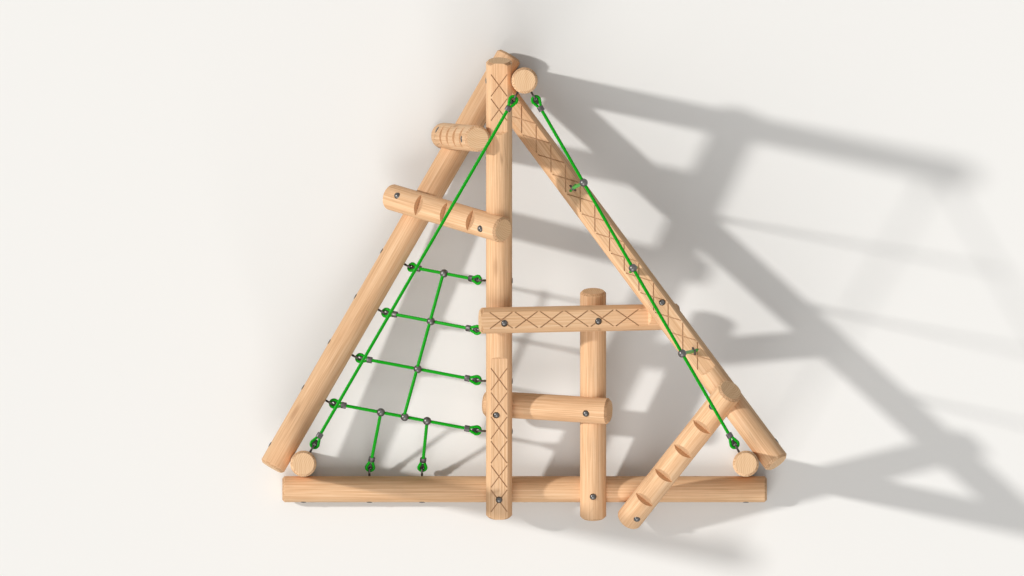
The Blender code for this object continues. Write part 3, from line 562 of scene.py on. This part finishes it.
def buildWearGroup():
    # a dull bloom over metal, and a height of faint scratches
    group, given, out = newGroup("handledMetal", [("Place", "Vector")],
                                 [("Bloom", "Float"), ("Height", "Float")])
    place = given["Place"]
    bloom = noise(group, place, wear["bloomScale"], 4.0, 0.6)
    scratches = noise(group, mapped(group, place, wear["scratchStretch"]), wear["scratchScale"], 2.0)
    height = maths(group, "MULTIPLY_ADD", scratches, 0.6, maths(group, "MULTIPLY", bloom, 0.4))
    group.links.new(bloom, out["Bloom"])
    group.links.new(height, out["Height"])
    return group


timberGroup = buildTimberGroup()
wearGroup = buildWearGroup()


def newMaterial(name):
    material = bpy.data.materials.new(name)
    material.use_nodes = True
    tree = material.node_tree
    return material, tree, tree.nodes["Principled BSDF"]


def addBump(tree, shader, strength, depth, height, **more):
    bump = node(tree, "ShaderNodeBump", {"Strength": strength, "Distance": depth, "Height": height, **more})
    tree.links.new(bump.outputs[0], shader.inputs["Normal"])


def timberMaterial(name, log, seed):
    material, tree, shader = newMaterial("timber_" + name)
    # point minus the low end, turned into the log's own frame by three dot products
    fromLow = vectors(tree, "SUBTRACT", objectPlace(tree), tuple(log["low"]))
    parts = {label: vectors(tree, "DOT_PRODUCT", fromLow, tuple(log["turn"][:, k]))
             for k, label in enumerate("XYZ")}
    planed = bool(log["flats"])
    group = node(tree, "ShaderNodeGroup", node_tree=timberGroup)
    for label, value in {
        "Place": node(tree, "ShaderNodeCombineXYZ", parts).outputs[0], "Axis": tuple(log["axis"]),
        "Centre": tuple(log["low"]), "Length": log["length"], "Seed": seed,
        "Groove Top": timber["flatHeight"] - wood["grooveBelowFlat"] if planed else 1.0,
        # how strongly shade is painted into this log's cuts
        "Groove Shade": wood["grooveShadeOf"].get(name, wood["flatGrooveShade" if planed else "plainGrooveShade"]),
        "Pith": wood["pithOf"].get(name, wood["pith"]),
    }.items():
        connect(tree, group.inputs[label], value)
    tree.links.new(group.outputs["Colour"], shader.inputs["Base Color"])
    tree.links.new(group.outputs["Roughness"], shader.inputs["Roughness"])
    addBump(tree, shader, wood["bump"], wood["bumpDepth"], group.outputs["Height"],
            Normal=group.outputs["Round Normal"])
    shader.inputs["Specular IOR Level"].default_value = wood["specular"]
    return material


# Dark and light colour, then roughness
metals = {
    "darkSteel": ((0.028, 0.025, 0.023, 1), (0.062, 0.056, 0.052, 1), 0.46),
    "ballSteel": ((0.095, 0.090, 0.087, 1), (0.165, 0.158, 0.152, 1), 0.36),
    "pressedSleeve": ((0.074, 0.068, 0.066, 1), (0.130, 0.121, 0.118, 1), 0.44),
    "boltSteel": ((0.080, 0.076, 0.073, 1), (0.160, 0.154, 0.150, 1), 0.30),
    "eyeSteel": ((0.070, 0.061, 0.056, 1), (0.135, 0.122, 0.115, 1), 0.50),
}


def metalMaterial(name):
    dark, light, roughness = metals[name]
    material, tree, shader = newMaterial(name)
    group = node(tree, "ShaderNodeGroup", node_tree=wearGroup)
    tree.links.new(objectPlace(tree), group.inputs["Place"])
    bloom = group.outputs["Bloom"]
    tree.links.new(ramp(tree, bloom, [(0.30, dark), (0.70, light)]), shader.inputs["Base Color"])
    tree.links.new(maths(tree, "MULTIPLY_ADD", bloom, 0.18, roughness - 0.09), shader.inputs["Roughness"])
    addBump(tree, shader, wear["bump"], wear["bumpDepth"], group.outputs["Height"])
    shader.inputs["Metallic"].default_value = 1.0
    return material


yarn = {
    "stops": [(0.20, (0.000, 0.070, 0.001, 1)), (0.50, (0.000, 0.290, 0.002, 1)),
              (0.85, (0.002, 0.470, 0.005, 1))],
    "soil": (0.002, 0.23, 0.005, 1), "sheen": (0.30, 1.0, 0.32, 1.0), "specular": 0.42,
    "fuzzScale": 700.0, "soilScale": 14.0, "bump": 0.5, "bumpDepth": 0.0003,
}


def ropeMaterial():
    # the strand attribute is 1 on the crown of each strand, and the lay attribute counts its yarns; the
    # valleys between strands take a painted shade
    material, tree, shader = newMaterial("greenRope")
    strand, lay = (node(tree, "ShaderNodeAttribute", attribute_name=label).outputs["Fac"]
                   for label in ("strand", "lay"))
    yarns = wave(tree, maths(tree, "MULTIPLY", lay, 2 * math.pi))
    fuzz = noise(tree, objectPlace(tree), yarn["fuzzScale"], 3.0, 0.7)
    soil = noise(tree, objectPlace(tree), yarn["soilScale"], 4.0, 0.65)
    # painted shade: darker green in the valleys between strands, lighter on their crowns
    tone = maths(tree, "MULTIPLY_ADD", fuzz, 0.25, maths(tree, "MULTIPLY", strand, 0.60))
    colour = ramp(tree, maths(tree, "MULTIPLY_ADD", yarns, 0.30, tone), yarn["stops"])
    soiled = maths(tree, "MULTIPLY_ADD", soil, 0.5, -0.17, clamp=True)
    tree.links.new(mixColour(tree, soiled, colour, yarn["soil"]), shader.inputs["Base Color"])
    tree.links.new(maths(tree, "MULTIPLY_ADD", fuzz, 0.2, 0.24), shader.inputs["Roughness"])
    height = maths(tree, "MULTIPLY_ADD", yarns, 0.7, maths(tree, "MULTIPLY", fuzz, 0.4))
    addBump(tree, shader, yarn["bump"], yarn["bumpDepth"], height)
    shader.inputs["Specular IOR Level"].default_value = yarn["specular"]
    shader.inputs["Specular Tint"].default_value = yarn["sheen"]
    return material


materials = {name: metalMaterial(name) for name in metals}
materials["greenRope"] = ropeMaterial()
print("materials ready")


def dressTimber():
    for number, (name, log) in enumerate(logs.items()):
        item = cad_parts[name]
        item.data.materials.clear()
        item.data.materials.append(timberMaterial(name, log, 3.17 * number + 1.3))


def finishPiece(item, material, replaced=()):
    item.data.materials.append(materials[material])
    if replaced:
        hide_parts(*replaced)
    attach(item, "root")


# Heads are domed and low; nuts and the heads on upright faces are lower still
bolt = {
    "headRadius": 0.016, "headRim": 0.0015, "headHeight": 0.012, "nutHeight": 0.0035, "edge": 0.0004,
    "shankRadius": 0.006, "shankChamfer": 0.001, "pastAxis": 0.030, "sides": 32, "domeSteps": 9,
    "joints": (  # each upper log and the piece under or beside it
        ("bolt_centre_base", "log_centre", "log_base"), ("bolt_centre_step", "log_centre", "log_step"),
        ("bolt_riser_base", "log_short_riser", "log_base"), ("bolt_step_riser", "log_step", "log_short_riser"),
        ("bolt_beam_centre", "log_beam", "log_centre"), ("bolt_beam_riser", "log_beam", "log_short_riser"),
        ("bolt_right_beam", "log_right", "log_beam"), ("bolt_steep_left", "rung_steep", "log_left"),
        ("bolt_steep_centre", "rung_steep", "log_centre"), ("bolt_upper_left", "rung_upper", "log_left"),
        ("bolt_upper_centre", "rung_upper", "log_centre"), ("bolt_lower_base", "rung_lower", "log_base"),
        ("bolt_lower_right", "rung_lower", "log_right"), ("bolt_base_post_left", "log_base", "post_left"),
        ("bolt_base_post_right", "log_base", "post_right"), ("bolt_left_post_left", "log_left", "post_left"),
        ("bolt_centre_post_apex", "log_centre", "post_apex"),
        ("bolt_right_post_right", "log_right", "post_right")),
}


def surfaceDistance(log, point, normal):
    # from the axis to the surface along the normal, and the tilt of a planed flat there
    along = (point - log["low"]) @ log["axis"]
    leaning = normal @ log["top"]
    if leaning > 0.8 and any(start < along < end for start, end in log["flats"]):
        return timber["flatHeight"] / leaning, math.acos(min(leaning, 1.0))
    return logRadius, None


def sinkOf(tilt):
    # how deep a head is let into a round log, or into a flat of that tilt
    wide = bolt["headRadius"] + timber["gap"]
    if tilt is None:
        return logRadius - math.sqrt(logRadius ** 2 - wide ** 2) + timber["gap"]
    return wide * math.tan(tilt) + timber["gap"]


def headProfile(seat, height, way):
    # rim and dome of a round head, growing away from its seat
    radius, rim, edge = bolt["headRadius"], bolt["headRim"], bolt["edge"]
    dome = arcProfile((radius - 1.5 * edge, height), 0, 90, bolt["domeSteps"])
    return [(radius - edge, seat), (radius, seat + way * edge), (radius, seat + way * rim * 0.8)] + [
        (r, seat + way * (rim + h)) for r, h in dome]


def makeBolts():
    for name, upper, lower in bolt["joints"]:
        lowPoint, highPoint = closestPoints(logs[lower], logs[upper])
        normal = unit(highPoint - lowPoint)
        surface, tilt = surfaceDistance(logs[upper], highPoint, normal)
        seat = np.linalg.norm(highPoint - lowPoint) + surface - sinkOf(tilt)
        height = bolt["headHeight"] if abs(normal[2]) > 0.5 else bolt["nutHeight"]
        shank, chamfer, tip = bolt["shankRadius"], bolt["shankChamfer"], -bolt["pastAxis"]
        profile = [(0, tip), (shank - chamfer, tip), (shank, tip + chamfer), (shank, seat)]
        shape = turned(profile + headProfile(seat, height, 1), bolt["sides"], lowPoint,
                       axesAlong(normal, topFor(normal)))
        finishPiece(meshObject("dome_" + name, *shape), "boltSteel", [name])


# The collar's pairs are a share of the wire's radius and a height over the neck
eye = {"wireRadius": 0.005, "radius": 0.016, "standoff": 0.0233, "neckGap": 0.001, "screwDepth": 0.042,
       "tipShare": 0.7, "tipLength": 0.003, "ringSteps": 56, "ringSides": 20, "shankSides": 24,
       "collar": ((1.0, -0.0035), (1.24, -0.001), (1.12, 0.001), (0.5, 0.003), (0.0, 0.003))}


def eyeEnd(name, logName, point, outward, ropeTo, screwed):
    # shank and ring of an eye bolt; gives the ring's centre and the normal of its plane
    surface, _ = surfaceDistance(logs[logName], point, outward)
    centre = point + outward * (surface + eye["standoff"])
    # rings stand upright, and across the rope where the shank itself is steep
    normal = unit(np.cross(outward, up if abs(outward[2]) < 0.5 else unit(ropeTo - centre)))
    wire, neck = eye["wireRadius"], surface + eye["standoff"] - eye["radius"] - eye["neckGap"]
    collar = [(wire * share, neck + height) for share, height in eye["collar"]]
    if screwed:
        tip = surface - eye["screwDepth"]
        profile = [(0, tip), (wire * eye["tipShare"], tip), (wire, tip + eye["tipLength"])] + collar
    else:
        seat = sinkOf(None) - logRadius
        profile = headProfile(seat, bolt["nutHeight"], -1)[::-1] + [(wire, seat)] + collar
    shank = turned(profile, eye["shankSides"], point, axesAlong(outward, topFor(outward)))
    ringTurn = axesAlong(normal, outward if abs(normal[2]) > 0.9 else up)
    ring = torus(centre, ringTurn, eye["radius"], wire, eye["ringSteps"], eye["ringSides"])
    finishPiece(meshObject("ring_" + name, *joinGrids([shank, ring])), "eyeSteel", [name])
    return centre, normal


rope = {"radius": 0.008, "strands": 6, "lay": 0.096, "strandDepth": 0.15, "yarnsPerMetre": 260.0,
        "step": 0.0020, "around": 36, "ballRadius": 0.020, "ballSides": 36, "ballSteps": 25}


def strandTube(name, outline, radius, firstSide):
    # twisted strands: r = R (1 - depth + depth |cos(n/2 (a - 2 pi s / lay))|), at angle a and distance s
    count, depth, around = rope["strands"], rope["strandDepth"], rope["around"]
    path = resample(outline, rope["step"])

    def phaseAt(angle, distance):
        return angle - 2 * np.pi / rope["lay"] * distance

    def radiusAt(angle, distance):
        return radius * (1 - depth + depth * np.abs(np.cos(count / 2 * phaseAt(angle, distance))))

    points, quads = sweep(path, firstSide, radiusAt, around)
    gaps = np.linalg.norm(np.diff(path, axis=0), axis=1)
    distance = np.concatenate([[0.0, 0.0], np.cumsum(gaps), [gaps.sum()]])[:, None]
    phase = phaseAt(turnsOf(around)[None, :], distance)
    # crown to valley of each strand, used to paint shade into the valleys
    paint = {"strand": 0.5 + 0.5 * np.cos(count * phase),
             "lay": count * phase / np.pi + distance * rope["yarnsPerMetre"]}
    return meshObject(name, points, quads, paint=paint), path


loop = {"radius": 0.018, "tube": 0.0070, "legOffset": 0.0071, "toFerrule": 0.0345, "arcSteps": 60,
        "ferruleLength": 0.025, "ferruleHalfWidth": 0.0152, "ferruleHalfHeight": 0.0095,
        "ferruleEdge": 0.0020, "ferruleSides": 40, "thimbleHole": 0.0060, "thimbleHoleAt": -0.0053,
        "thimbleHalfHeight": 0.0040, "thimbleLap": 0.0012, "thimblePoint": 0.012, "thimbleSteps": 56,
        "thimbleEdge": 14}


def loopOutline(middle, direction, across):
    # teardrop: a circle about the middle whose two tangents run into the ferrule
    radius, offset = loop["radius"], loop["legOffset"]
    bend = loop["toFerrule"] - loop["ferruleLength"] / 12
    inside = loop["toFerrule"] + loop["ferruleLength"] / 3
    leave = math.atan2(offset, bend) + math.acos(radius / math.hypot(bend, offset))
    angle = np.linspace(leave, 2 * np.pi - leave, loop["arcSteps"])
    flat = [(inside, offset), (bend, offset)]
    flat += [(radius * math.cos(a), radius * math.sin(a)) for a in angle]
    flat += [(bend, -offset), (inside, -offset)]
    return [middle + direction * along + across * aside for along, aside in flat]


def thimbleMesh(middle, along, across, facing):
    # a solid teardrop with a bored hole: point(t, s) = mix(hole(t), rim(t)) with a rounded edge
    steps, edge, hole = loop["thimbleSteps"], loop["thimbleEdge"], loop["thimbleHole"]
    t, s = turnsOf(steps), turnsOf(edge)
    inside = loop["radius"] - loop["tube"] + loop["thimbleLap"]
    pull = np.clip(np.cos(t), 0, 1) ** 3
    inner = np.stack([loop["thimbleHoleAt"] + hole * np.cos(t), hole * np.sin(t)], -1)
    rim = np.stack([inside * np.cos(t) + loop["thimblePoint"] * pull,
                    inside * np.sin(t) * (1 - 0.25 * pull)], -1)
    mix = (0.5 - 0.5 * np.cos(s))[None, :, None]
    flat = inner[:, None] * (1 - mix) + rim[:, None] * mix
    height = loop["thimbleHalfHeight"] * np.sign(np.sin(s)) * np.abs(np.sin(s)) ** 0.6
    points = (middle + along * flat[..., :1] + across * flat[..., 1:]
              + facing * np.broadcast_to(height[None, :, None], (steps, edge, 1)))
    return facingOut(points.reshape(-1, 3), gridFaces(steps, edge, True))


def ferruleMesh(origin, direction, across):
    # a pressed sleeve: a turned profile flattened to an oval
    length, edge = loop["ferruleLength"], loop["ferruleEdge"]
    profile = [(0, 0), (0.86, 0), (0.95, 0.3 * edge), (1.0, edge), (1.0, length - edge),
               (0.95, length - 0.3 * edge), (0.86, length), (0, length)]
    points, quads = turned(profile, loop["ferruleSides"], np.zeros(3), np.eye(3))
    points = points * np.array([loop["ferruleHalfWidth"], loop["ferruleHalfHeight"], 1.0])
    return points @ np.stack([across, np.cross(direction, across), direction], axis=1).T + origin, quads


def makeLoop(name, ring, direction):
    # loop, thimble and ferrule at a ring; gives the point inside the ferrule where the rope starts
    centre, normal = ring
    across = unit(normal - direction * (normal @ direction))
    facing = np.cross(direction, across)
    # the loop slips through the ring until its rope touches the wire, also where it leaves at a slant
    slant = abs(math.asin(normal @ direction))
    hole = eye["radius"] - eye["wireRadius"] - timber["gap"]
    slip = hole - loop["tube"] / math.cos(slant) - eye["wireRadius"] * math.tan(slant)
    middle = centre + direction * (slip + loop["radius"])
    outline = loopOutline(middle, direction, across)
    finishPiece(strandTube("loop_" + name, outline, loop["tube"], facing)[0], "greenRope")
    thimble = meshObject("thimble_" + name, *thimbleMesh(middle, direction, across, facing))
    finishPiece(thimble, "darkSteel")
    origin = middle + direction * loop["toFerrule"]
    ferrule = meshObject("ferrule_" + name, *ferruleMesh(origin, direction, across))
    finishPiece(ferrule, "pressedSleeve")
    return origin + direction * loop["ferruleLength"] / 2


def makeBall(name, centre, direction):
    profile = arcProfile((rope["ballRadius"], rope["ballRadius"]), -90, 90, rope["ballSteps"])
    shape = turned(profile, rope["ballSides"], centre, axesAlong(direction, topFor(direction)))
    item = meshObject("ball_" + name, *shape)
    finishPiece(item, "ballSteel")
    return item


def straightRope(name, start, end, ballCentres=()):
    # the straight part from ferrule to ferrule, held taut, with the balls that are threaded on it
    direction = unit(end - start)
    side = unit(np.cross(direction, topFor(direction)))
    item, path = strandTube("laid_" + name, [start, end], rope["radius"], side)
    finishPiece(item, "greenRope", [name])
    balls = [makeBall(f"{name}_{k + 1}", centre, direction) for k, centre in enumerate(ballCentres)]


def loopedRope(name, first, second, ballShares=()):
    # a rope from ring to ring, with balls at shares of the way between them
    direction = unit(second[0] - first[0])
    start = makeLoop(name + "_a", first, direction)
    end = makeLoop(name + "_b", second, -direction)
    straightRope(name, start, end, [first[0] + (second[0] - first[0]) * share for share in ballShares])


def hungRope(name, ring, ball):
    # a rope from a ring to the ball of another rope
    direction = unit(ball - ring[0])
    start = makeLoop(name, ring, direction)
    straightRope(name, start, ball - direction * (rope["radius"] + 3 * timber["gap"]))


# Shares of the way between the posts for the balls, and post spacings along the right log for the eyes
highRopes = {"belowTop": 0.095, "balls": (0.2667, 0.4895, 0.7124), "hangerEyes": (0.3071, 0.5452, 0.7833)}


def makeHighRopes():
    height = up * (timber["postHeight"] - highRopes["belowTop"])
    apex = logs["post_apex"]["low"]
    ends = {}
    for side in ("left", "right"):
        foot = logs["post_" + side]["low"]
        along = unit(foot - apex)
        near = eyeEnd("eye_apex_" + side, "post_apex", apex + height, along, foot + height, True)
        far = eyeEnd("eye_post_" + side, "post_" + side, foot + height, -along, apex + height, True)
        ends[side] = (near, far)
    loopedRope("rope_high_left", *ends["left"])
    foot = logs["post_right"]["low"]
    centres = [apex + height + (foot - apex) * share for share in highRopes["balls"]]
    (startRing, _), (endRing, _) = ends["right"]
    whole = np.linalg.norm(endRing - startRing)
    shares = [np.linalg.norm(centre - startRing) / whole for centre in centres]
    loopedRope("rope_high_right", *ends["right"], shares)
    right = logs["log_right"]
    for number, (centre, share) in enumerate(zip(centres, highRopes["hangerEyes"])):
        name = f"hanger_{number + 1}"
        point = right["low"] + right["axis"] * share * spacing
        ring = eyeEnd("eye_" + name, "log_right", point, right["top"], centre, True)
        hungRope("rope_" + name, ring, centre)


# In post spacings along the logs, and in shares of the lowest row for the two balls above the base log
net = {"rows": 4, "leftFirst": 0.5303, "rightFirst": 0.5600, "pitch": 0.1190, "tail": 0.009,
       "dropShares": (0.337, 0.643), "dropEyes": (0.1492, 0.2681)}


def makeNet():
    left, centre, base = logs["log_left"], logs["log_centre"], logs["log_base"]
    inward = unit(np.cross(up, heading(layout["leftHeading"])))
    across = -heading(0)
    reach = logRadius + eye["standoff"]
    rows, crossings = [], []
    for i in range(net["rows"]):
        atLeft = left["low"] + left["axis"] * (net["leftFirst"] + i * net["pitch"]) * spacing
        atRight = centre["low"] + centre["axis"] * (net["rightFirst"] - i * net["pitch"]) * spacing
        start = eyeEnd(f"eye_net_left_{i + 1}", "log_left", atLeft, inward, atRight + across * reach, False)
        end = eyeEnd(f"eye_net_right_{i + 1}", "log_centre", atRight, across, atLeft + inward * reach, False)
        rows.append((start, end))
        crossings.append((start[0] + end[0]) / 2)
        loopedRope(f"rope_net_{i + 1}", start, end, net["dropShares"] if i == net["rows"] - 1 else ())
    # the rope down the net lies on the rows, and a ball holds each crossing
    run = unit(crossings[-1] - crossings[0])
    lift = unit(np.cross(run, rows[1][1][0] - rows[1][0][0])) * (rope["radius"] + timber["gap"])
    lift = lift if lift[2] > 0 else -lift
    for i, crossing in enumerate(crossings):
        makeBall(f"crossing_{i + 1}", crossing + lift, run)
    straightRope("rope_net_down", crossings[0] + 2 * lift - run * net["tail"],
                 crossings[-1] + 2 * lift + run * net["tail"])
    (lowStart, _), (lowEnd, _) = rows[-1]
    for i, (share, along) in enumerate(zip(net["dropShares"], net["dropEyes"])):
        ball = lowStart + (lowEnd - lowStart) * share
        point = base["low"] + base["axis"] * (layout["baseOverhang"] + along) * spacing
        ring = eyeEnd(f"eye_drop_{i + 1}", "log_base", point, plusY, ball, False)
        hungRope(f"rope_drop_{i + 1}", ring, ball)


dressTimber()
print("timber dressed")
makeBolts()
print("bolts made")
makeHighRopes()
print("high ropes made")
makeNet()
print("net made")


# Floor, light and camera

floorLook = {"reach": 14.0, "drop": 0.0006, "roughness": 0.9, "specular": 0.1,
             "colour": (0.86, 0.85, 0.83, 1.0),
             "bounce": (0.32, 0.33, 0.30, 1.0)}  # the darker colour that lights the object


def lookedAt(tree):
    # 1 for rays that show the background, to the camera or in metal, and 0 for those that light the object
    path = node(tree, "ShaderNodeLightPath").outputs
    shown = maths(tree, "MAXIMUM", path["Is Camera Ray"], path["Is Glossy Ray"])
    return maths(tree, "MAXIMUM", shown, path["Is Transmission Ray"])


def makeFloor():
    reach, low = floorLook["reach"], -floorLook["drop"]
    points = np.array([(x * reach, y * reach, low) for x, y in ((-1, -1), (1, -1), (1, 1), (-1, 1))])
    floor = meshObject("floor", points, np.array([(0, 1, 2, 3)]), smooth=False)
    material, tree, shader = newMaterial("paleFloor")
    colour = mixColour(tree, lookedAt(tree), floorLook["bounce"], floorLook["colour"])
    tree.links.new(colour, shader.inputs["Base Color"])
    shader.inputs["Roughness"].default_value = floorLook["roughness"]
    shader.inputs["Specular IOR Level"].default_value = floorLook["specular"]
    floor.data.materials.append(material)


# A sun's heading is the way its light goes across the plan, and its spread is how wide it looks
lights = {
    "skyStrength": 0.33,
    "key": {"heading": -12.0, "height": 35.0, "power": 2.25, "spread": 3.0, "colour": (1.0, 0.985, 0.955)},
    "fill": {"heading": 78.0, "height": 42.0, "power": 1.55, "spread": 45.0, "colour": (1.0, 0.99, 0.97)},
}


def makeSky():
    world = bpy.data.worlds.new("softSky")
    bpy.context.scene.world = world
    world.use_nodes = True
    tree = world.node_tree
    background = tree.nodes["Background"]
    background.inputs["Color"].default_value = (1.0, 1.0, 1.0, 1.0)
    sky = lights["skyStrength"]
    tree.links.new(maths(tree, "MULTIPLY_ADD", lookedAt(tree), 1 - sky, sky), background.inputs["Strength"])


def makeSun(name):
    values = lights[name]
    sun = bpy.data.lights.new(name, "SUN")
    sun.energy = values["power"]
    sun.angle = math.radians(values["spread"])
    sun.color = values["colour"]
    item = bpy.data.objects.new(name, sun)
    bpy.context.scene.collection.objects.link(item)
    height = math.radians(values["height"])
    direction = Vector(heading(values["heading"]) * math.cos(height) - up * math.sin(height))
    item.rotation_euler = direction.to_track_quat("-Z", "Y").to_euler()


# Straight down and without perspective; places in the picture are pixels from its top left corner
view = {"width": 1024, "metresPerPixel": 0.004746, "middle": (512.0, 288.0), "planOrigin": (524.6, 463.65),
        "height": 8.0, "farthest": 100}


def makeCamera():
    scale = view["metresPerPixel"]
    (middleX, middleY), (originX, originY) = view["middle"], view["planOrigin"]
    camera = bpy.data.cameras.new("camera")
    camera.type = "ORTHO"
    camera.ortho_scale = view["width"] * scale
    camera.clip_end = view["farthest"]
    item = bpy.data.objects.new("camera", camera)
    item.location = ((middleX - originX) * scale - planMiddle[0], (originY - middleY) * scale - planMiddle[1],
                     view["height"])
    bpy.context.scene.collection.objects.link(item)
    bpy.context.scene.camera = item


makeFloor()
makeSky()
makeSun("key")
makeSun("fill")
makeCamera()
bpy.context.scene.view_settings.view_transform = "Standard"
print("stage ready")

bpy.context.view_layer.update()
